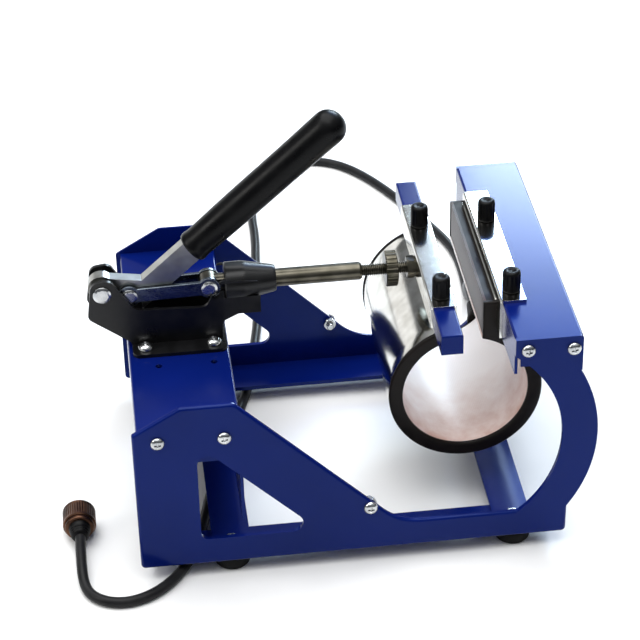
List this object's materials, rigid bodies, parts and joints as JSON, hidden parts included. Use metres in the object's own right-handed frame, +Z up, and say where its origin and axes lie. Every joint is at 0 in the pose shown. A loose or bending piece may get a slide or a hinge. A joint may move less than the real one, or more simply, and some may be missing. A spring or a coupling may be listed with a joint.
{
  "type": "mug heat press",
  "caption": "Free-standing press that clamps a curved heating loop around a mug with a lever-operated push rod, on a folded sheet frame with rubber feet.",
  "frame": {"origin": "on the floor, under the middle of the press without its lead", "axes": "+X from the clamp to the jaws, +Y to the rear, +Z up"},
  "size_m": [0.3465, 0.5617, 0.2746],
  "materials": {
    "blue_paint": "royal blue gloss powder coat",
    "black_clamp": "satin black coated steel",
    "bare_steel": "bare rolled steel",
    "plated_steel": "yellow-olive zinc plate",
    "zinc_screw": "bright zinc plate",
    "black_plastic": "moulded black plastic",
    "grip": "black dipped grip",
    "rubber_feet": "moulded rubber",
    "stainless": "polished stainless sheet",
    "silicone_black": "silicone foam",
    "silicone_brown": "silicone heating mat",
    "liner": "non-stick coated glass cloth",
    "cord": "soft cable jacket",
    "brass": "gilded contacts"
  },
  "bodies": {
    "frame": {"front_side_plate": "blue_paint", "rear_side_plate": "blue_paint", "tower_channel": "blue_paint", "jaw_channel": "blue_paint", "tower_cross_strip": "blue_paint", "arm_cross_strip": "blue_paint", "rubber_feet": "rubber_feet", "foot_screws": "zinc_screw", "foot_nuts": "zinc_screw", "tower_screws": "zinc_screw", "jaw_channel_screws": "zinc_screw", "stop_bolts": "zinc_screw", "stop_bolt_nuts": "zinc_screw", "clamp_base": "black_clamp", "clamp_barrel": "black_clamp", "clamp_bolts": "zinc_screw", "clamp_nuts": "zinc_screw", "ear_pin": "zinc_screw", "fixed_bracket": "stainless", "fixed_studs": "zinc_screw", "fixed_stud_nuts": "zinc_screw", "heater_liner": "liner", "heater_mat": "silicone_brown", "heater_pad": "silicone_black", "heater_shell": "stainless", "lead_boot": "black_plastic", "heater_lead": "cord", "plug_sleeve": "black_plastic", "plug_body": "zinc_screw", "plug_pins": "brass"},
    "lever": {"handle_lever": "bare_steel", "handle_grip": "grip", "crank_pin": "bare_steel"},
    "push_rod": {"plunger": "plated_steel", "plunger_pin": "zinc_screw", "spindle": "plated_steel", "spindle_lock_nut": "plated_steel", "jaw_bar": "blue_paint", "jaw_saddle": "plated_steel", "moving_bracket": "bare_steel", "moving_studs": "zinc_screw"},
    "links": {"toggle_links": "bare_steel", "link_pin_heads": "zinc_screw"},
    "pressure_disc": {"pressure_nut": "plated_steel"},
    "fixed_knob_front": {"fixed_thumb_nut_front": "black_plastic"},
    "fixed_knob_rear": {"fixed_thumb_nut_rear": "black_plastic"},
    "moving_knob_front": {"moving_thumb_nut_front": "black_plastic"},
    "moving_knob_rear": {"moving_thumb_nut_rear": "black_plastic"},
    "plug_collar": {"plug_ring": "plated_steel"}
  },
  "joints": [
    {"name": "handle_swing", "type": "hinge", "parent": "frame", "child": "lever", "pos_m": [-0.14892, 0, 0.159], "axis": [0, 1, 0], "range_deg": [-112, 0]},
    {"name": "plunger_slide", "type": "slide", "parent": "frame", "child": "push_rod", "axis": [1, 0, 0], "range_m": [-0.02406, 0], "deforming": ["heater_liner", "heater_mat", "heater_pad", "heater_shell"]},
    {"name": "link_swing", "type": "hinge", "parent": "lever", "child": "links", "pos_m": [-0.13142, 0, 0.153], "axis": [0, 1, 0], "range_deg": [0, 140.08]},
    {"name": "pressure_nut_turn", "type": "hinge", "parent": "push_rod", "child": "pressure_disc", "pos_m": [0.04158, 0, 0.1545], "axis": [1, 0, 0], "continuous": true},
    {"name": "fixed_knob_front_turn", "type": "hinge", "parent": "frame", "child": "fixed_knob_front", "pos_m": [0.11158, -0.0555, 0.173], "axis": [0, 0, 1], "continuous": true},
    {"name": "fixed_knob_rear_turn", "type": "hinge", "parent": "frame", "child": "fixed_knob_rear", "pos_m": [0.11158, 0.0345, 0.173], "axis": [0, 0, 1], "continuous": true},
    {"name": "moving_knob_front_turn", "type": "hinge", "parent": "push_rod", "child": "moving_knob_front", "pos_m": [0.06608, -0.0555, 0.173], "axis": [0, 0, 1], "continuous": true},
    {"name": "moving_knob_rear_turn", "type": "hinge", "parent": "push_rod", "child": "moving_knob_rear", "pos_m": [0.06608, 0.0345, 0.173], "axis": [0, 0, 1], "continuous": true},
    {"name": "plug_collar_turn", "type": "hinge", "parent": "frame", "child": "plug_collar", "pos_m": [-0.17642, -0.0448, 0.011], "axis": [0, 1, 0], "continuous": true}
  ],
  "couplings": [
    {"joint": "plunger_slide", "follows": "handle_swing", "m_per_rad": 0.012156},
    {"joint": "link_swing", "follows": "handle_swing", "ratio": -1.2462}
  ]
}
